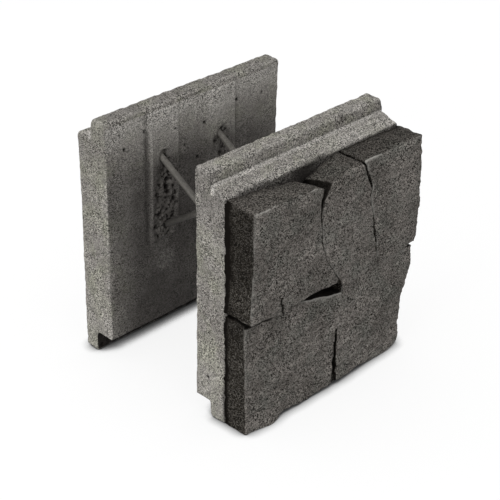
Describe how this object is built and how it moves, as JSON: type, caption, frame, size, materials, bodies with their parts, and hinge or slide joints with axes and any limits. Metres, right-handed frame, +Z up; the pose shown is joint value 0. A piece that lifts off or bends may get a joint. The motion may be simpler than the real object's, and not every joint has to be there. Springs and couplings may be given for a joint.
{
  "type": "concrete half block",
  "caption": "Retaining wall half block: a stone-faced concrete panel and a plain rear panel, tongued on top and rabbeted below, held apart by crossed steel tie rods over an open cavity",
  "frame": {"origin": "middle of the block's footprint on the floor", "axes": "+Z up, -Y out of the stone face, X along the wall"},
  "size_m": [0.61, 0.6, 0.661],
  "materials": {
    "face_concrete": "dark tinted concrete cast as split stone, rough and matt",
    "bare_concrete": "bare grey concrete off the form, pitted and matt",
    "tie_steel": "plain round bar, dulled by cement dust"
  },
  "bodies": {
    "root": {"face_panel": "face_concrete", "rear_panel": "bare_concrete", "left_falling_rod": "tie_steel", "left_rising_rod": "tie_steel", "right_falling_rod": "tie_steel", "right_rising_rod": "tie_steel"}
  },
  "joints": []
}
